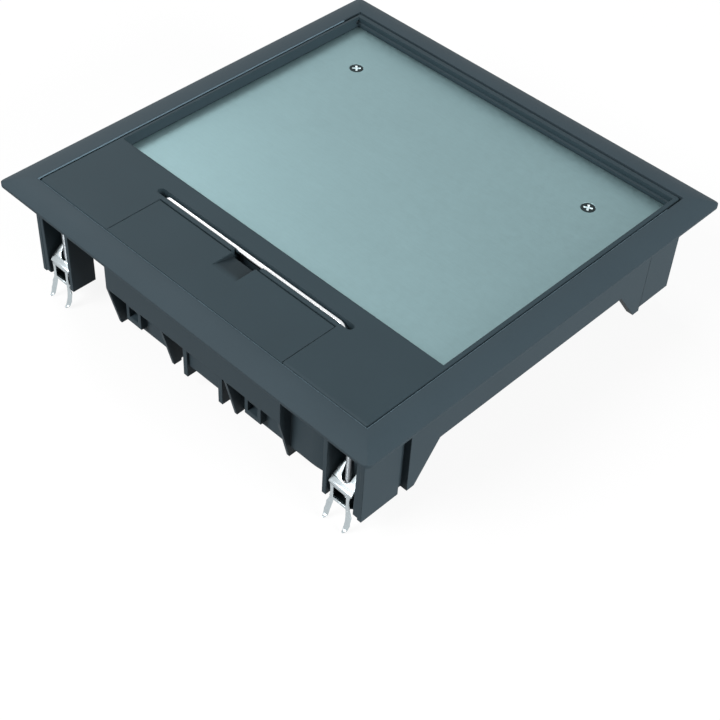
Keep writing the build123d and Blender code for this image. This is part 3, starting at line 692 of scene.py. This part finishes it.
def makePlateScrews(facts):
    face, radius, shank = facts["face"], facts["radius"], facts["shank"]
    foot, end, edge = facts["foot"], facts["end"], facts["edge"]
    heads, crossHighlights = [], []
    for side, turn in facts["turns"].items():
        profile = [(0, foot), (shank - end, foot), (shank, foot + end), (shank, face - radius + shank),
                   (radius, face - edge), (radius - edge, face), (0, face)]
        head = combine(turnedSolid("plateScrew", profile), driverCross("cross", facts, face))
        # painted highlight: a bright lining in each cross stands in for the light the recess catches
        bottom, rim = face - facts["crossDepth"], face - facts["liningSunk"]
        reach = facts["liningRadius"]
        shell = turnedSolid("shell", [(0, bottom), (reach, bottom), (reach, rim), (0, rim)])
        highlightLining = combine(driverCross("highlightLining", facts, face, facts["liningPlay"]), shell, "INTERSECT")
        highlightLining = combine(highlightLining, driverCross("inner", facts, face, facts["highlightLining"]))
        place = Matrix.Translation((side * facts["centre"][0] * mm, facts["centre"][1] * mm, 0))
        place = place @ Matrix.Rotation(math.radians(turn), 4, "Z")
        for mesh, group in ((head, heads), (highlightLining, crossHighlights)):
            mesh.transform(place)
            group.append(mesh)
    newPiece("plate_screws", joinMeshes("plateScrews", heads), "lid", "zinc_steel",
             ["lid_plate_screws"], darkZincAndShade)
    newPiece("driver_crosses", joinMeshes("driverCrosses", crossHighlights), "lid", "zinc_steel", finish=driverShine)


def joinMeshes(name, meshes):
    work = bmesh.new()
    for mesh in meshes:
        work.from_mesh(mesh)
        bpy.data.meshes.remove(mesh)
    joined = bpy.data.meshes.new(name)
    work.to_mesh(joined)
    work.free()
    return joined


makePlateScrews(plateScrewSet)
print("plate screws set")

# Foam strips of the lid's seat: flat where they are glued, crowned above, pinched at their ends
foamSet = {
    "inner": 109.2, "outer": 112.2, "halfLength": 92.0, "foot": 61.0, "height": 1.5, "rows": 60,
    "pinch": 0.012, "endSwell": 0.62, "endWidth": 0.9, "ripple": 0.02, "waves": 41.0,
    "section": [(-1.0, 0.0), (1.0, 0.0), (1.0, 0.45), (0.93, 0.75), (0.75, 0.93), (0.4, 1.0), (0.0, 1.0),
                (-0.4, 1.0), (-0.75, 0.93), (-0.93, 0.75), (-1.0, 0.45)],
    "endRuns": (0.988, 0.994, 0.998, 1.0), "midRun": 0.98,
}


def foamStrip(work, facts, along, side):
    half, height = (facts["outer"] - facts["inner"]) / 2, facts["height"]
    middle = side * (facts["inner"] + half)
    runs = [-run for run in reversed(facts["endRuns"])]
    runs += [facts["midRun"] * (2 * step / facts["rows"] - 1) for step in range(facts["rows"] + 1)]
    runs += facts["endRuns"]
    rings = []
    for run in runs:
        end = min(1.0, (1.0 - abs(run)) / facts["pinch"])
        swell = facts["endSwell"] + (1 - facts["endSwell"]) * math.sqrt(end * (2 - end))
        ripple = 1.0 - facts["ripple"] * (1 + math.sin(run * facts["waves"] + side))
        width = half * (facts["endWidth"] + (1 - facts["endWidth"]) * swell) * ripple
        length = run * facts["halfLength"]
        ring = []
        for x, z in facts["section"]:
            across, up = middle + x * width, facts["foot"] + z * height * swell * ripple
            spot = (length, across, up) if along else (across, length, up)
            ring.append(work.verts.new([part * mm for part in spot]))
        rings.append(ring)
    for first, second in zip(rings, rings[1:]):
        bridge(work, first, second)
    work.faces.new(rings[0])
    work.faces.new(rings[-1])


def makeFoam(facts):
    work = bmesh.new()
    for along in (True, False):
        for side in (-1, 1):
            foamStrip(work, facts, along, side)
    foam = newPiece("seal_foam", meshOf(work, "foam", True), "base", "foam", ["lid_seal"])


makeFoam(foamSet)
print("foam laid")

# Rounded bead along the flange's opening, at the front and both sides: it narrows the seam round the lid,
# and its paler colour is a painted highlight along the seam
lipSet = {"half": 117.6, "back": 104.0, "highlightGain": 3.6,
          "section": [(0.0, 73.9), (0.35, 74.1), (0.54, 74.45), (0.46, 74.70), (0.27, 74.89), (0.0, 74.97)]}


def makeLip(facts):
    half, back = facts["half"], facts["back"]
    path = [((-half, back), (1, 0)), ((-half, -half), (1, 1)),
            ((half, -half), (-1, 1)), ((half, back), (-1, 0))]
    work = bmesh.new()
    rings = [[work.verts.new(((x + inX * depth) * mm, (y + inY * depth) * mm, height * mm))
              for depth, height in facts["section"]] for (x, y), (inX, inY) in path]
    for first, second in zip(rings, rings[1:]):
        bridge(work, first, second)
    work.faces.new(rings[0])
    work.faces.new(rings[-1])
    # painted highlight: the bead is coloured several times paler than the frame, so the seam shows a light
    # line
    highlightPaint = mouldedPlastic("paintedHighlightLip", tint(plasticSet["frameShade"], facts["highlightGain"])[:3], plasticSet)
    newPiece("seam_lip", meshOf(work, "lip"), "base", "frame_plastic", finish=highlightPaint)


makeLip(lipSet)
print("seam lip laid")

# Cheeks that line the outer wall of each claw bay down to its foot
cheekSet = {"innerFoot": 114.1, "innerTop": 115.4, "outer": 117.7, "front": 119.7, "back": 106.0,
            "foot": 13.5, "top": 66.0, "round": 1.6, "bendSteps": 5, "edge": 0.3}


def makeCheeks(facts):
    bend = [math.pi / 2 * step / facts["bendSteps"] for step in range(facts["bendSteps"] + 1)]
    side = [(facts["back"], facts["foot"]), (facts["back"], facts["top"]), (facts["front"], facts["top"])]
    side += [(facts["front"] - facts["round"] * (1 - math.cos(angle)),
              facts["foot"] + facts["round"] * (1 - math.sin(angle))) for angle in bend]
    work = bmesh.new()
    for signs in corners.values():
        loops = [[], []]
        for y, z in side:
            rise = (z - facts["foot"]) / (facts["top"] - facts["foot"])
            inner = facts["innerFoot"] + (facts["innerTop"] - facts["innerFoot"]) * rise
            for loop, x in zip(loops, (inner, facts["outer"])):
                loop.append(work.verts.new((signs[0] * x * mm, signs[1] * y * mm, z * mm)))
        bridge(work, *loops)
        for loop in loops:
            work.faces.new(loop)
    cheeks = newPiece("claw_bay_cheeks", meshOf(work, "cheeks"), "base", "frame_plastic")
    addBevel(cheeks, facts["edge"])
    bakeModifiers(cheeks)


makeCheeks(cheekSet)
print("cheeks lined")
